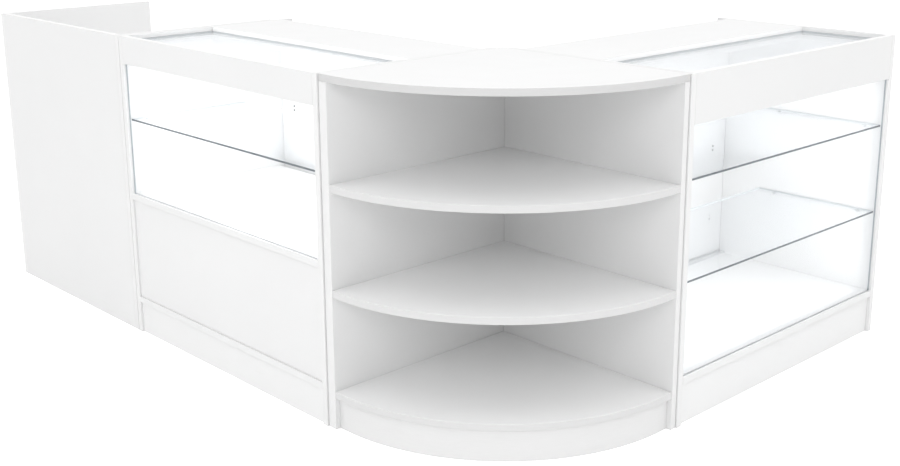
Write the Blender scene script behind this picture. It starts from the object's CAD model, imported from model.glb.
"""Looks for an L-shaped shop counter: white melamine board, clear glass and a little metal.

Metres, +Z up. The "half" display faces -Y, the "full" display faces +X, and a corner unit
joins them. The counter stands on a plain white studio floor just below z = 0.
"""

import math

import bmesh
import bpy
from mathutils import Matrix, Quaternion, Vector

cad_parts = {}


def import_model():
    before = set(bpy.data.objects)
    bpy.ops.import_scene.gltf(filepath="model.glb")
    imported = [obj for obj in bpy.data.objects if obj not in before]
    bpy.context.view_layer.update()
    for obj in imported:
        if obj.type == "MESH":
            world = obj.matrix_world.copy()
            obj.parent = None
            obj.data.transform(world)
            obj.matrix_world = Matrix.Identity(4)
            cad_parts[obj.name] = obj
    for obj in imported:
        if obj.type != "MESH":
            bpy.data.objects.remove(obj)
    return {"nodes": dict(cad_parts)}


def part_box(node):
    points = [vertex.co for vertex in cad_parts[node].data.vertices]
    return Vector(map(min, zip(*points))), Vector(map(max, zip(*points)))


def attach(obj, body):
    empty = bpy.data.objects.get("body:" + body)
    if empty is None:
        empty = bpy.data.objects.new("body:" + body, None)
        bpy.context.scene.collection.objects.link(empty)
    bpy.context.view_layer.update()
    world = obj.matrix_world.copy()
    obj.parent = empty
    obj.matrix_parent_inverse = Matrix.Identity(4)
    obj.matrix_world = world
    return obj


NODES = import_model()["nodes"]
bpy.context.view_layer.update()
WHITE = (1.0, 1.0, 1.0)
X, Y, Z = range(3)


# ---------------------------------------------------------------- node graphs
class Graph:
    """Node tree of a material or world. Inputs given as sockets are linked, others are values."""

    def __init__(self, owner, output="OutputMaterial"):
        owner.use_nodes = True
        self.owner = owner
        self.tree = owner.node_tree
        self.tree.nodes.clear()
        self.end = self.node(output)

    def node(self, kind, inputs=None, **settings):
        node = self.tree.nodes.new("ShaderNode" + kind)
        for key, value in settings.items():
            setattr(node, key, value)
        for key, value in (inputs or {}).items():
            socket = node.inputs[key]
            if isinstance(value, bpy.types.NodeSocket):
                self.tree.links.new(value, socket)
            elif socket.type == "RGBA":
                socket.default_value = (*value, 1.0)
            else:
                socket.default_value = value
        return node

    def output(self, kind, inputs=None, slot=0, **settings):
        return self.node(kind, inputs, **settings).outputs[slot]

    def math(self, operation, first, second=0.0, third=0.0, clamp=False):
        values = {0: first, 1: second, 2: third}
        return self.output("Math", values, operation=operation, use_clamp=clamp)

    def add(self, first, second):
        return self.math("ADD", first, second)

    def times(self, first, second):
        return self.math("MULTIPLY", first, second)

    def abs_dot(self, first, second):
        dot = self.output("VectorMath", {0: first, 1: second}, "Value", operation="DOT_PRODUCT")
        return self.math("ABSOLUTE", dot)

    def ramp(self, value, start=0.3, end=0.7, low=0.0, high=1.0, kind="SMOOTHSTEP"):
        """Takes start..end to low..high, clamped."""
        ranges = {"Value": value, "From Min": start, "From Max": end, "To Min": low, "To Max": high}
        return self.output("MapRange", ranges, interpolation_type=kind)

    def linear(self, value, **ranges):
        return self.ramp(value, kind="LINEAR", **ranges)

    def noise(self, where, scale=1.0, detail=3.0, rough=0.6, warp=0.0, stretch=None):
        if stretch:
            where = self.output("VectorMath", {0: where, 1: stretch}, operation="MULTIPLY")
        return self.output("TexNoise", {"Vector": where, "Scale": scale, "Detail": detail,
                                        "Roughness": rough, "Distortion": warp})

    def mix(self, amount, first, second):
        return self.output("Mix", {0: amount, 6: first, 7: second}, 2, data_type="RGBA")

    def mix_shader(self, amount, first, second):
        return self.output("MixShader", {0: amount, 1: first, 2: second})

    def bump(self, height, strength, distance):
        return self.output("Bump", {"Height": height, "Strength": strength, "Distance": distance})

    def place(self):
        return self.output("TexCoord", slot="Object")

    def principled(self, base, rough, **others):
        """Other inputs are named with underscores for spaces."""
        extra = {key.replace("_", " "): value for key, value in others.items()}
        return self.output("BsdfPrincipled", {"Base Color": base, "Roughness": rough, **extra})

    def finish(self, shader):
        self.tree.links.new(shader, self.end.inputs["Surface"])
        return self.owner


def new_graph(name):
    return Graph(bpy.data.materials.new(name))


def on_axis(axis, on, off):
    return tuple(on if i == axis else off for i in range(3))


def scaled(colour, factor):
    return tuple(channel * factor for channel in colour)


# ---------------------------------------------------------------- materials
def melamine(name, axis, tone=0.76, edge_tone=0.745):
    """White faced board: pearly foil on faces square to `axis`, edge banding on the others."""
    graph = new_graph(name)
    place = graph.place()
    normal = graph.output("NewGeometry", slot="Normal")
    facing = graph.abs_dot(normal, on_axis(axis, 1.0, 0.0))
    band = graph.ramp(facing, start=0.42, end=0.3)        # 1 on the banded edges
    arris = graph.times(graph.ramp(facing, start=0.3, end=0.45),
                        graph.ramp(facing, start=0.985, end=0.86))

    # Foil: a fine pearl with faint cloudiness.
    cloud = graph.noise(place, scale=2.6, rough=0.55)
    grain = graph.noise(place, scale=240.0)
    clouded = graph.add(graph.times(cloud, 0.6), graph.times(grain, 0.4))
    face_dark = (tone - 0.008, tone - 0.007, tone - 0.006)
    face_light = (tone + 0.006, tone + 0.007, tone + 0.007)
    face = graph.mix(graph.ramp(clouded, start=0.32, end=0.68), face_dark, face_light)

    # Edge banding: fine streaks along its length.
    streak = graph.noise(place, scale=3.0, stretch=on_axis(axis, 420.0, 9.0))
    edge_dark, edge_light = (edge_tone - 0.012,) * 3, (edge_tone + 0.008,) * 3
    edge = graph.mix(graph.ramp(streak), edge_dark, edge_light)
    base = graph.mix(band, face, edge)

    # The broken edge: rubbed a little darker, unevenly.
    wear = graph.noise(place, scale=16.0, detail=4.0, rough=0.65)
    rub = graph.times(arris, graph.ramp(wear, start=0.35, end=0.7, low=0.25))
    rubbed = (tone * 0.93, tone * 0.925, tone * 0.915)
    base = graph.mix(rub, base, rubbed)

    # Scuffs near the floor.
    height = graph.output("SeparateXYZ", {0: place}, slot=Z)
    near_floor = graph.ramp(height, start=0.11, end=0.0)
    marks = graph.noise(place, scale=9.0, detail=6.0, rough=0.7, warp=0.8, stretch=(1.0, 1.0, 5.0))
    marks = graph.ramp(marks, start=0.53, end=0.78)
    scuff_strength = 0.22
    scuff = graph.times(graph.times(near_floor, marks), scuff_strength)
    base = graph.mix(scuff, base, (0.63, 0.62, 0.60))

    # Sheen: satin in hand-wiped patches, duller on the banding, rubs and scuffs.
    wipe = graph.noise(place, scale=5.5, detail=5.0, warp=0.6, stretch=(1.0, 1.0, 1.7))
    rough = graph.linear(wipe, low=0.35, high=0.47)
    worn = graph.math("MAXIMUM", rub, scuff)
    for dulling, amount in ((grain, 0.05), (band, 0.06), (worn, 0.15)):
        rough = graph.add(rough, graph.times(dulling, amount))

    # Relief: foil pearl on the faces, trimming lines on the bands.
    fine = graph.noise(place, scale=520.0, detail=2.0, rough=0.5)
    coarse = graph.noise(place, scale=95.0, detail=2.0, rough=0.5)
    pearl = graph.add(fine, graph.times(coarse, 0.6))
    relief = graph.bump(graph.mix(band, pearl, streak), strength=0.10, distance=0.0004)
    return graph.finish(graph.principled(base, rough, Normal=relief,
                                         Specular_IOR_Level=0.42, IOR=1.5))


def glass(name, axis, inside_tone=(0.72, 0.76, 0.78), far_edge=0.30):
    """Float-glass pane, clear across `axis` and dark blue-grey along its ground edges.

    Edges seen through the pane take the colour `inside_tone` and are clear by `far_edge`.
    """
    graph = new_graph(name)
    place = graph.place()
    geometry = graph.node("NewGeometry").outputs
    normal, backfacing = geometry["Normal"], geometry["Backfacing"]
    facing = graph.abs_dot(normal, on_axis(axis, 1.0, 0.0))
    through = graph.ramp(facing, start=0.86, end=0.95)

    # Schlick's curve on both faces, so that the back of a pane doesn't turn into a mirror.
    cosine = graph.abs_dot(geometry["Incoming"], normal)
    grazing = graph.math("POWER", graph.math("SUBTRACT", 1.0, cosine, clamp=True), 5.0)
    head_on, gain = 0.042, 0.86
    fresnel = graph.math("MULTIPLY_ADD", grazing, gain, head_on)
    haze = graph.noise(place, scale=4.2, detail=5.0, rough=0.65, warp=0.7)
    rough = graph.linear(haze, start=0.35, end=0.75, low=0.004, high=0.03)
    ripple = graph.noise(place, scale=3.1, detail=1.0, rough=0.4)
    wave = graph.bump(ripple, strength=0.05, distance=0.002)
    clear = graph.output("BsdfTransparent", {"Color": (0.991, 0.994, 0.996)})
    mirror = graph.output("BsdfAnisotropic",
                          {"Color": (0.97, 0.985, 1.0), "Roughness": rough, "Normal": wave})
    pane = graph.mix_shader(fresnel, clear, mirror)

    # Polished edges: dark from outside, paler where seen through the pane.
    grind = graph.noise(place, stretch=on_axis(axis, 60.0, 900.0))
    dark = graph.mix(graph.ramp(grind), (0.040, 0.058, 0.072), (0.066, 0.086, 0.102))
    inside = graph.mix(graph.ramp(grind), scaled(inside_tone, 0.95), scaled(inside_tone, 1.05))
    edge = graph.principled(graph.mix(backfacing, dark, inside),
                            graph.ramp(grind, low=0.14, high=0.3), Specular_IOR_Level=0.5,
                            Normal=graph.bump(grind, strength=0.15, distance=0.0003))
    faint = graph.output("BsdfTransparent", {"Color": (0.90, 0.915, 0.925)})
    seen = graph.mix_shader(graph.times(backfacing, far_edge), edge, faint)
    return graph.finish(graph.mix_shader(through, seen, pane))


def brushed(name, along, colour, rough, fineness=1.0, spots=0.0):
    """Metal with drawing lines along one axis, and optional zinc blotches."""
    graph = new_graph(name)
    place = graph.place()
    lines = graph.noise(place, detail=4.0, rough=0.65,
                        stretch=on_axis(along, 2.0, 900.0 * fineness))
    blotch = graph.noise(place, scale=60.0, warp=0.4)
    base = graph.mix(graph.ramp(lines, start=0.28, end=0.72), scaled(colour, 0.86), colour)
    if spots:
        spotted = graph.times(graph.ramp(blotch, start=0.4, end=0.65), spots)
        base = graph.mix(spotted, base, scaled(colour, 0.78))
    sheen = graph.linear(lines, start=0.25, end=0.75, low=rough - 0.08, high=rough + 0.09)
    sheen = graph.add(sheen, graph.ramp(blotch, start=0.35, end=0.7, high=0.07))
    return graph.finish(graph.principled(
        base, sheen, Metallic=1.0, Normal=graph.bump(lines, strength=0.12, distance=0.0002)))


def chrome(name):
    """Bright plating with hairline scratches and a soft haze."""
    graph = new_graph(name)
    place = graph.place()
    hair = graph.noise(place, detail=5.0, rough=0.7, warp=0.5, stretch=on_axis(Z, 160.0, 2600.0))
    haze = graph.noise(place, scale=320.0)
    base = graph.mix(graph.ramp(haze), (0.70, 0.71, 0.72), (0.80, 0.81, 0.82))
    rough = graph.add(graph.linear(haze, end=0.75, low=0.07, high=0.18),
                      graph.ramp(hair, start=0.6, end=0.8, high=0.12))
    return graph.finish(graph.principled(
        base, rough, Metallic=1.0, Normal=graph.bump(hair, strength=0.06, distance=0.0001)))


def plastic(name, colour, rough=0.42, clear=0.0):
    """Moulded plastic with a fine spark-eroded texture."""
    graph = new_graph(name)
    place = graph.place()
    spark = graph.noise(place, scale=1500.0, detail=2.0)
    shade = graph.noise(place, scale=90.0, rough=0.5)
    base = graph.mix(graph.ramp(shade), scaled(colour, 0.955), colour)
    sheen = graph.add(graph.linear(shade, low=rough - 0.05, high=rough + 0.05),
                      graph.times(spark, 0.08))
    relief = graph.bump(spark, strength=0.2, distance=0.0001)
    return graph.finish(graph.principled(base, sheen, Normal=relief, Transmission_Weight=clear))


def per_axis(make, name, **look):
    return [make(f"{name}_{letter}", axis, **look) for axis, letter in enumerate("xyz")]


BOARD = per_axis(melamine, "white_board")
FRONTS = per_axis(melamine, "white_board_front", tone=0.735, edge_tone=0.83)
WALLS = per_axis(melamine, "white_board_wall", tone=0.725, edge_tone=0.735)
CURVED = melamine("white_board_curved", Z, tone=0.79, edge_tone=0.63)
CURVED_TOP = melamine("white_board_curved_top", Z, tone=0.75, edge_tone=0.575)
BRIGHT = melamine("white_board_bright", X, tone=0.82, edge_tone=0.76)
REAR_TOP = melamine("white_board_rear_top", Z, tone=0.76, edge_tone=0.90)
CURVED_PLINTH = melamine("white_board_plinth", Z, edge_tone=0.71)
SHELF_GLASS = glass("clear_glass_shelf", Z)
# Framed panes have their edges in a groove or on a rail.
FRAMED_GLASS = per_axis(glass, "clear_glass_framed", inside_tone=(0.46, 0.50, 0.53), far_edge=0.25)
TRACK = per_axis(brushed, "track_aluminium", colour=(0.82, 0.83, 0.84), rough=0.34)
STEEL = brushed("drawer_steel_zinc", Y, (0.66, 0.68, 0.70), rough=0.34, fineness=0.5, spots=0.55)
HANDLE = brushed("drawer_steel_brushed", X, (0.72, 0.72, 0.72), rough=0.27)
CHROME = chrome("lock_chrome")
DARK_STEEL = brushed("drawer_steel_dark", Z, (0.16, 0.165, 0.17), rough=0.36,
                     fineness=2.0, spots=0.4)
WHITE_PLASTIC = plastic("grommet_plastic", (0.78, 0.78, 0.775))
CLEAR_PAD = plastic("clear_pad", (0.86, 0.88, 0.88), rough=0.25, clear=0.7)


# ---------------------------------------------------------------- CAD nodes: shading and finishes
def smoothing_group():
    """Welds a mesh's split corners and shades every edge up to 50 degrees smooth."""
    tree = bpy.data.node_groups.new("smooth_by_angle", "GeometryNodeTree")
    for direction in ("INPUT", "OUTPUT"):
        tree.interface.new_socket("Geometry", in_out=direction, socket_type="NodeSocketGeometry")
    new, link = tree.nodes.new, tree.links.new
    entry, end = new("NodeGroupInput"), new("NodeGroupOutput")
    weld = new("GeometryNodeMergeByDistance")
    weld.inputs["Distance"].default_value = 0.00002
    angle = new("GeometryNodeInputMeshEdgeAngle")
    shallow = new("FunctionNodeCompare")
    shallow.data_type = "FLOAT"
    shallow.operation = "LESS_EQUAL"
    shallow.inputs["B"].default_value = math.radians(50)
    faces = new("GeometryNodeSetShadeSmooth")
    edges = new("GeometryNodeSetShadeSmooth")
    faces.domain = "FACE"
    edges.domain = "EDGE"
    faces.inputs["Shade Smooth"].default_value = True
    link(entry.outputs[0], weld.inputs["Geometry"])
    link(weld.outputs[0], faces.inputs["Geometry"])
    link(faces.outputs[0], edges.inputs["Geometry"])
    link(angle.outputs["Unsigned Angle"], shallow.inputs["A"])
    link(shallow.outputs[0], edges.inputs["Shade Smooth"])
    link(edges.outputs[0], end.inputs[0])
    return tree


SMOOTH = smoothing_group()


def smooth(thing):
    thing.modifiers.new("smooth_by_angle", "NODES").node_group = SMOOTH


def flatten_faces(thing):
    weighted = thing.modifiers.new("flat_faces", "WEIGHTED_NORMAL")
    weighted.mode = "FACE_AREA"
    weighted.weight = 80
    weighted.keep_sharp = True


NAMED_FINISH = {
    "corner_plinth": CURVED_PLINTH,
    "corner_top": CURVED_TOP,
    "till_end_panel_left": BRIGHT,
    "till_drawer_box": BOARD[Z],
}


def finish_of(name):
    low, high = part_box(name)
    size = high - low
    thin = min(range(3), key=lambda axis: size[axis])
    long = max(range(3), key=lambda axis: size[axis])
    if name in NAMED_FINISH:
        return NAMED_FINISH[name]
    if "glass_shelf" in name:
        return SHELF_GLASS
    if name.endswith("_glass"):
        return FRAMED_GLASS[thin]
    if name.endswith("_track"):
        return TRACK[long]
    if name.endswith("_lock"):
        return CHROME
    if "_runner_" in name:
        return STEEL
    if name.endswith("_handle"):
        return HANDLE
    if name.endswith("_grommet"):
        return WHITE_PLASTIC
    if name.endswith("_rear_top_board"):
        return REAR_TOP
    if name.startswith("corner_side_panel"):
        return WALLS[thin]
    if name.endswith(("_fascia", "_front_panel")):
        return FRONTS[thin]
    if name.startswith("corner_") and thin == Z:
        return CURVED
    if name.endswith("glass_frame"):
        return BOARD[Z]
    return BOARD[thin]


for name, node in NODES.items():
    node.data.materials.clear()
    node.data.materials.append(finish_of(name))
    smooth(node)
    flatten_faces(node)


# ---------------------------------------------------------------- mesh helpers
def add_object(name, mesh, materials):
    """Turns a bmesh into a scene object."""
    data = bpy.data.meshes.new(name)
    mesh.to_mesh(data)
    mesh.free()
    for material in materials:
        data.materials.append(material)
    thing = bpy.data.objects.new(name, data)
    bpy.context.scene.collection.objects.link(thing)
    return thing


def fitting(name, mesh, materials, body, bevel=0.0):
    """Makes a small fitting that rides on a CAD body."""
    bmesh.ops.recalc_face_normals(mesh, faces=mesh.faces)
    thing = add_object(name, mesh, materials)
    if bevel:
        rounding = thing.modifiers.new("bevel", "BEVEL")
        rounding.width = bevel
        rounding.segments = 3
        rounding.limit_method = "ANGLE"
        rounding.angle_limit = math.radians(35)
    smooth(thing)
    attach(thing, body)


def turned(mesh, profile, origin, axis, steps, material=0):
    """Adds a closed ring of (radius, height) points turned about `axis` through `origin`."""
    axis = Vector(axis).normalized()
    across = axis.orthogonal().normalized()
    third = axis.cross(across)
    rings = []
    for k in range(steps):
        angle = 2 * math.pi * k / steps
        spoke = across * math.cos(angle) + third * math.sin(angle)
        rings.append([mesh.verts.new(origin + axis * height + spoke * max(radius, 1e-6))
                      for radius, height in profile])
    for k in range(steps):
        here, after = rings[k], rings[(k + 1) % steps]
        for i in range(len(profile)):
            j = (i + 1) % len(profile)
            if profile[i][0] <= 0 and profile[j][0] <= 0:
                continue
            face = mesh.faces.new((here[i], here[j], after[j], after[i]))
            face.material_index = material
    bmesh.ops.remove_doubles(mesh, verts=mesh.verts, dist=2e-6)


def brick(mesh, corner, opposite):
    """Adds a closed box between two opposite corners."""
    low, high = Vector(map(min, corner, opposite)), Vector(map(max, corner, opposite))
    verts = [mesh.verts.new((x, y, z))
             for x in (low.x, high.x) for y in (low.y, high.y) for z in (low.z, high.z)]
    for face in ((0, 1, 3, 2), (4, 6, 7, 5), (0, 4, 5, 1), (2, 3, 7, 6), (0, 2, 6, 4), (1, 5, 7, 3)):
        mesh.faces.new([verts[i] for i in face])


# ---------------------------------------------------------------- shelf pins
PIN_SETBACKS = (0.063, 0.350)      # from the unit's front plane
PIN_DROP = 0.0040                  # pin axis below the underside of the glass
SEAT_START, SEAT_END = 0.0016, 0.0095    # flat seat, out from the wall
SEAT_HALF_WIDTH = 0.0050
SEAT_BOTTOM, SEAT_TOP = -0.0026, -0.0010    # from the underside of the glass
PAD_OUT = 0.0058                   # pad centre, out from the wall
# (radius, height): collar then stub; pad disc
PIN_PROFILE = [(0, 0.0), (0.0048, 0.0), (0.0048, 0.0012), (0.0042, 0.0018), (0.0025, 0.0018),
               (0.0025, 0.0085), (0.0021, 0.0090), (0, 0.0090)]
PAD_PROFILE = [(0, 0.0), (0.0031, 0.0), (0.0031, 0.0006), (0.0027, 0.0009), (0, 0.0009)]


def pin_places(unit, level):
    """Lists (place, direction out of the end panel) for a shelf's four pins."""
    left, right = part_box(unit + "_end_panel_left"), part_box(unit + "_end_panel_right")
    if unit == "half":
        front = left[0].y
        walls = ((left[1].x, 1), (right[0].x, -1))
        return [(Vector((x, front + setback, level)), Vector((way, 0, 0)))
                for x, way in walls for setback in PIN_SETBACKS]
    front = left[1].x
    walls = ((left[1].y, 1), (right[0].y, -1))
    return [(Vector((front - setback, y, level)), Vector((0, way, 0)))
            for y, way in walls for setback in PIN_SETBACKS]


def shelf_pins(shelf):
    """Two pins in each end panel under a glass shelf, each with a clear pad on its seat."""
    unit = shelf.split("_")[0]
    side = Vector((0, 1, 0)) if unit == "half" else Vector((1, 0, 0))
    for i, (place, out) in enumerate(pin_places(unit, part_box(shelf)[0].z)):
        mesh = bmesh.new()
        turned(mesh, PIN_PROFILE, place - Vector((0, 0, PIN_DROP)), out, steps=28)
        half_width = side * SEAT_HALF_WIDTH
        brick(mesh, place + out * SEAT_START - half_width + Vector((0, 0, SEAT_BOTTOM)),
              place + out * SEAT_END + half_width + Vector((0, 0, SEAT_TOP)))
        turned(mesh, PAD_PROFILE, place + out * PAD_OUT + Vector((0, 0, SEAT_TOP)), (0, 0, 1),
               steps=24, material=1)
        fitting(f"{shelf.replace('_glass', '')}_pin_{i + 1}", mesh, [CHROME, CLEAR_PAD],
                "counter", bevel=0.00025)


for shelf in ("half_glass_shelf", "full_glass_shelf_lower", "full_glass_shelf_upper"):
    shelf_pins(shelf)


# ---------------------------------------------------------------- door pulls
PULL_INSET = 0.066                 # from the door's upright edge
SCREW_DROPS = (0.0, -0.013)        # from the pull's centre
# door, which edge the pull is near (-1 the lower coordinate, 1 the higher), height
PULLS = (("half_door_outer", -1, 0.633), ("half_door_inner", 1, 0.633),
         ("full_door_outer", 1, 0.500), ("full_door_inner", -1, 0.500))
# (radius, height) from the door face: floor, wall and rim of the cup
CUP_PROFILE = [(0, -0.0054), (0.0132, -0.0054), (0.0140, -0.0046), (0.0140, -0.0002),
               (0.0146, 0.0009), (0.0172, 0.0009), (0.0178, 0.0004), (0.0178, 0.0001),
               (0.0147, 0.0001), (0.0147, -0.0058), (0, -0.0058)]
SCREW_RADIUS = 0.0034
# (radius, height): pan head with a dished centre
SCREW_PROFILE = [(0, 0.0), (SCREW_RADIUS, 0.0), (SCREW_RADIUS, 0.0005),
                 (SCREW_RADIUS * 0.86, 0.0013), (SCREW_RADIUS * 0.5, 0.0017),
                 (SCREW_RADIUS * 0.26, 0.0017), (SCREW_RADIUS * 0.22, 0.0009), (0, 0.0009)]


def on_door(door, edge, level, rear):
    """Returns a point on the door's rear or front face, and the direction out of that face."""
    low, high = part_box(door)
    across = X if door.startswith("half") else Y
    inset = low[across] + PULL_INSET if edge < 0 else high[across] - PULL_INSET
    if across == X:
        return Vector((inset, (high if rear else low).y, level)), (0, 1 if rear else -1, 0)
    return Vector(((low if rear else high).x, inset, level)), (-1 if rear else 1, 0, 0)


# A moulded cup pressed into each door's rear face.
for door, edge, level in PULLS:
    mesh = bmesh.new()
    turned(mesh, CUP_PROFILE, *on_door(door, edge, level, rear=True), steps=56)
    fitting(door + "_cup", mesh, [WHITE_PLASTIC], door)

# Two screw heads on each door's front face, inside the unit.
for door, edge, level in PULLS:
    mesh = bmesh.new()
    for drop in SCREW_DROPS:
        turned(mesh, SCREW_PROFILE, *on_door(door, edge, level + drop, rear=False), steps=24)
    fitting(door + "_screws", mesh, [DARK_STEEL], door)


# ---------------------------------------------------------------- floor and world
FLOOR_RADIUS = 30.0
FLOOR_LEVEL = -0.0003
FLOOR_GLOW = 0.07             # what the floor emits as a lamp
FLOOR_SEEN = 0.30             # what it emits to the camera
SKY = 1.02                    # the surroundings as seen or mirrored
DOME, DOME_TOP = 0.84, 1.04   # the surroundings as a lamp, near the horizon and overhead


def floor_material():
    graph = new_graph("studio_floor")
    cloud = graph.noise(graph.place(), scale=1.3, detail=4.0, rough=0.5)
    base = graph.mix(cloud, (0.93, 0.93, 0.93), (0.95, 0.95, 0.95))
    seen = graph.output("LightPath", slot="Is Camera Ray")
    glow = graph.math("MULTIPLY_ADD", seen, FLOOR_SEEN - FLOOR_GLOW, FLOOR_GLOW)
    return graph.finish(graph.principled(
        base, graph.linear(cloud, low=0.7, high=0.8), Specular_IOR_Level=0.1,
        Emission_Color=WHITE, Emission_Strength=glow))


def studio_floor():
    mesh = bmesh.new()
    bmesh.ops.create_circle(mesh, cap_ends=True, radius=FLOOR_RADIUS, segments=96)
    bmesh.ops.translate(mesh, verts=mesh.verts, vec=(0, 0, FLOOR_LEVEL))
    add_object("studio_floor", mesh, [floor_material()])


def studio_world():
    """Plain white when seen or mirrored, softer as a lamp to leave room for the key lights."""
    world = bpy.data.worlds.new("studio")
    bpy.context.scene.world = world
    graph = Graph(world, "OutputWorld")
    sky = graph.output("Background", {"Color": WHITE, "Strength": SKY})
    direction = graph.output("TexCoord", slot="Generated")
    height = graph.output("SeparateXYZ", {0: direction}, slot=Z)
    fade = graph.ramp(height, start=0.25, end=0.95, low=DOME, high=DOME_TOP)
    dome = graph.output("Background", {"Color": WHITE, "Strength": fade})
    diffuse = graph.output("LightPath", slot="Is Diffuse Ray")
    graph.finish(graph.mix_shader(diffuse, sky, dome))


studio_floor()
studio_world()

# ---------------------------------------------------------------- lights
# A light's `card` is the brightness it adds to a white card facing it.
KEY_CARD = 0.14
FRONT_KEY_CARD = 0.17         # a lower light from the front of the L, into the open shelves
KEY_DISTANCE = 6.5
KEY_CENTRE = (-0.3, 0.0, 0.5)


def softbox(name, place, turn, size, watts):
    lamp = bpy.data.lights.new(name, "AREA")
    lamp.shape = "RECTANGLE"
    lamp.size, lamp.size_y = size
    lamp.energy = watts
    thing = bpy.data.objects.new(name, lamp)
    thing.location = place
    thing.rotation_mode = "QUATERNION"
    thing.rotation_quaternion = turn
    bpy.context.scene.collection.objects.link(thing)
    thing.visible_camera = False
    thing.visible_glossy = False


def card_light(name, place, target, size, card, distance):
    turn = (Vector(target) - Vector(place)).to_track_quat("-Z", "Y")
    softbox(name, place, turn, size, card * math.pi ** 2 * distance ** 2)


def key_light(name, azimuth, elevation, size, card, target=KEY_CENTRE):
    """Azimuth runs from -Y towards +X, in degrees."""
    around, rise = math.radians(azimuth), math.radians(elevation)
    place = Vector(KEY_CENTRE) + KEY_DISTANCE * Vector(
        (math.sin(around) * math.cos(rise), -math.cos(around) * math.cos(rise), math.sin(rise)))
    card_light(name, place, target, size, card, KEY_DISTANCE)


def showcase(unit, top, deck, inward, front_glow, roof_glow):
    """Soft panels for a display: one behind its front pane, one overhead facing down."""
    low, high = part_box(unit + "_front_glass")
    centre = (low + high) / 2
    inward = Vector(inward)
    width = max(high.x - low.x, high.y - low.y) - 0.05
    height = top - deck - 0.02
    behind = centre + inward * 0.020
    behind.z = (top + deck) / 2
    softbox(unit + "_front_fill", behind, inward.to_track_quat("-Z", "Y"),
            (width, height), math.pi * front_glow * width * height)
    over = centre + inward * 0.27
    over.z = top + 0.02
    depth = 0.46
    spread = (width, depth) if abs(inward.y) > 0.5 else (depth, width)
    softbox(unit + "_roof_fill", over, Quaternion((1, 0, 0, 0)), spread,
            math.pi * roof_glow * width * depth)


key_light("key_left", azimuth=-25, elevation=55, size=(4.0, 4.0), card=KEY_CARD)
key_light("key_right", azimuth=115, elevation=55, size=(4.0, 4.0), card=KEY_CARD)
key_light("key_front", azimuth=45, elevation=27, size=(3.0, 2.0), card=FRONT_KEY_CARD,
          target=(0.0, 0.0, 0.5))
showcase("half", top=0.825, deck=0.434, inward=(0, 1, 0), front_glow=1.42, roof_glow=1.40)
showcase("full", top=0.780, deck=0.131, inward=(-1, 0, 0), front_glow=0.84, roof_glow=1.12)

# Small fills for the displays' dark rear corners beside the corner unit: place, target, card.
for name, place, target, card in (
        ("half_corner_fill", (-0.55, -0.47, 0.60), (-0.09, -0.12, 0.52), 0.34),
        ("full_corner_fill", (0.47, 0.52, 0.60), (0.11, 0.06, 0.52), 0.13)):
    distance = (Vector(target) - Vector(place)).length
    card_light(name, place, target, (0.30, 0.24), card, distance)

# ---------------------------------------------------------------- camera and render
CAMERA_PLACE = (2.29958, -2.34410, 1.36877)
YAW = math.radians(135) + 0.01558     # radians, from +X towards +Y
PITCH = -0.25514
ROLL = -0.00093


def add_camera():
    camera = bpy.data.cameras.new("camera")
    camera.type = "PERSP"
    camera.sensor_width = 36.0
    camera.lens = 49.355
    camera.shift_x = -0.02385
    camera.shift_y = -0.04982
    camera.clip_start = 0.05
    camera.clip_end = 200.0
    eye = bpy.data.objects.new("camera", camera)
    bpy.context.scene.collection.objects.link(eye)
    forward = Vector((math.cos(YAW) * math.cos(PITCH), math.sin(YAW) * math.cos(PITCH),
                      math.sin(PITCH)))
    level = forward.cross(Vector((0, 0, 1))).normalized()
    upright = level.cross(forward)
    right = level * math.cos(ROLL) + upright * math.sin(ROLL)
    up = upright * math.cos(ROLL) - level * math.sin(ROLL)
    pose = Matrix((right, up, -forward)).transposed().to_4x4()
    pose.translation = Vector(CAMERA_PLACE)
    eye.matrix_world = pose
    bpy.context.scene.camera = eye


add_camera()
scene = bpy.context.scene
scene.view_settings.view_transform = "Standard"
scene.view_settings.look = "None"
scene.view_settings.exposure = 0.0
scene.view_settings.gamma = 1.0
scene.render.film_transparent = False
scene.cycles.use_denoising = True
scene.cycles.max_bounces = 14
scene.cycles.diffuse_bounces = 6
scene.cycles.glossy_bounces = 6
scene.cycles.transmission_bounces = 8
scene.cycles.transparent_max_bounces = 48
scene.cycles.use_adaptive_sampling = False
